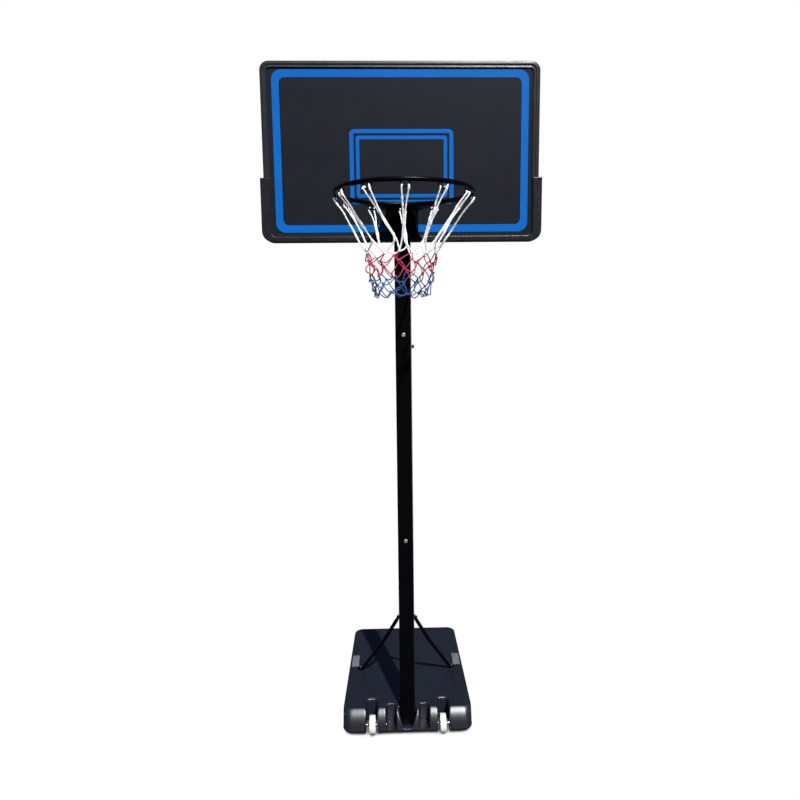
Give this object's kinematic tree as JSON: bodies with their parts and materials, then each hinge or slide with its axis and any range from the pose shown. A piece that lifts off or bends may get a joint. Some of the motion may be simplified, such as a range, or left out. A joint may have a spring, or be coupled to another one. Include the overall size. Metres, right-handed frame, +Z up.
{
  "type": "basketball stand",
  "caption": "Portable basketball stand: telescoping square pole on a wheeled ballast tank with bent braces, carrying a framed board, hoop with gusseted bracket and hanging net.",
  "frame": {"origin": "on the floor under the pole's axis", "axes": "+Z up along the pole; -Y towards the player, the way the board and hoop face; +Y towards the ballast tank's rear; +X to the right seen from in front"},
  "size_m": [1.126, 1.4018, 2.868],
  "materials": {
    "tank_plastic": "satin",
    "black_plastic": "satin",
    "white_plastic": "semi-gloss",
    "grey_plate": "matte",
    "board_charcoal": "satin",
    "line_blue": "satin",
    "rubber": "matte",
    "black_steel": "semi-gloss powder coat",
    "dark_steel": "black oxide",
    "bright_steel": "zinc-plated",
    "net_cord": "braided cord",
    "water": "liquid"
  },
  "bodies": {
    "stand": {"base_tank": "tank_plastic", "water_fill": "water", "left_deck_pad": "grey_plate", "right_deck_pad": "grey_plate", "left_wheel_axle": "bright_steel", "right_wheel_axle": "bright_steel", "lower_pole": "black_steel", "middle_pole": "black_steel", "lower_joint_bolt": "bright_steel", "lower_joint_washer": "bright_steel", "lower_joint_nut": "bright_steel", "lock_weld_nut": "dark_steel", "anchor_bolt": "dark_steel", "anchor_nut": "dark_steel", "left_brace": "black_steel", "right_brace": "black_steel", "brace_bolt": "dark_steel", "brace_nut": "dark_steel", "left_foot_bolt": "bright_steel", "right_foot_bolt": "bright_steel"},
    "upper_section": {"inner_pole": "dark_steel", "upper_pole": "black_steel", "pole_cap": "black_plastic", "upper_joint_bolt": "bright_steel", "upper_joint_washer": "bright_steel", "upper_joint_nut": "bright_steel", "board_frame": "black_plastic", "board_panel": "board_charcoal", "border_stripe": "line_blue", "target_outer_stripe": "line_blue", "target_inner_stripe": "line_blue", "edge_guard": "rubber", "left_rail": "black_steel", "right_rail": "black_steel", "upper_bracket": "black_steel", "lower_bracket": "black_steel", "upper_bracket_bolt": "dark_steel", "upper_bracket_nut": "dark_steel", "lower_bracket_bolt": "dark_steel", "lower_bracket_nut": "dark_steel", "hoop_plate": "black_steel", "hoop_left_gusset": "black_steel", "hoop_right_gusset": "black_steel", "hoop_wing": "black_steel", "hoop_ring": "black_steel", "net": "net_cord", "lower_left_hoop_bolt": "dark_steel", "lower_left_hoop_nut": "dark_steel", "lower_right_hoop_bolt": "dark_steel", "lower_right_hoop_nut": "dark_steel", "upper_left_hoop_bolt": "dark_steel", "upper_left_hoop_nut": "dark_steel", "upper_right_hoop_bolt": "dark_steel", "upper_right_hoop_nut": "dark_steel"},
    "left_wheel": {"left_wheel": "white_plastic"},
    "right_wheel": {"right_wheel": "white_plastic"},
    "filler_seal": {"filler_seal": "rubber"},
    "filler_cap": {"filler_cap": "black_plastic"},
    "lock_washer": {"lock_washer": "dark_steel"},
    "lock_screw": {"lock_screw": "dark_steel"}
  },
  "joints": [
    {"name": "height_slide", "type": "slide", "parent": "stand", "child": "upper_section", "axis": [0, 0, 1], "range_m": [0, 0.6]},
    {"name": "left_wheel_spin", "type": "hinge", "parent": "stand", "child": "left_wheel", "pos_m": [-0.16, -0.046, 0.0405], "axis": [1, 0, 0], "continuous": true},
    {"name": "right_wheel_spin", "type": "hinge", "parent": "stand", "child": "right_wheel", "pos_m": [0.16, -0.046, 0.0405], "axis": [1, 0, 0], "continuous": true},
    {"name": "filler_lift", "type": "slide", "parent": "stand", "child": "filler_seal", "axis": [0, 0, 1], "range_m": [0, 0.009]},
    {"name": "filler_turn", "type": "hinge", "parent": "filler_seal", "child": "filler_cap", "pos_m": [0, 0.52, 0.114], "axis": [0, 0, 1], "range_deg": [0, 540]},
    {"name": "lock_screw_out", "type": "slide", "parent": "stand", "child": "lock_washer", "axis": [1, 0, 0], "range_m": [0, 0.005]},
    {"name": "lock_screw_turn", "type": "hinge", "parent": "lock_washer", "child": "lock_screw", "pos_m": [0.0378, 0, 1.749], "axis": [1, 0, 0], "range_deg": [0, 1440]}
  ],
  "couplings": [
    {"joint": "filler_lift", "follows": "filler_turn", "m_per_rad": 0.0009549},
    {"joint": "lock_screw_out", "follows": "lock_screw_turn", "m_per_rad": 0.0001989}
  ]
}
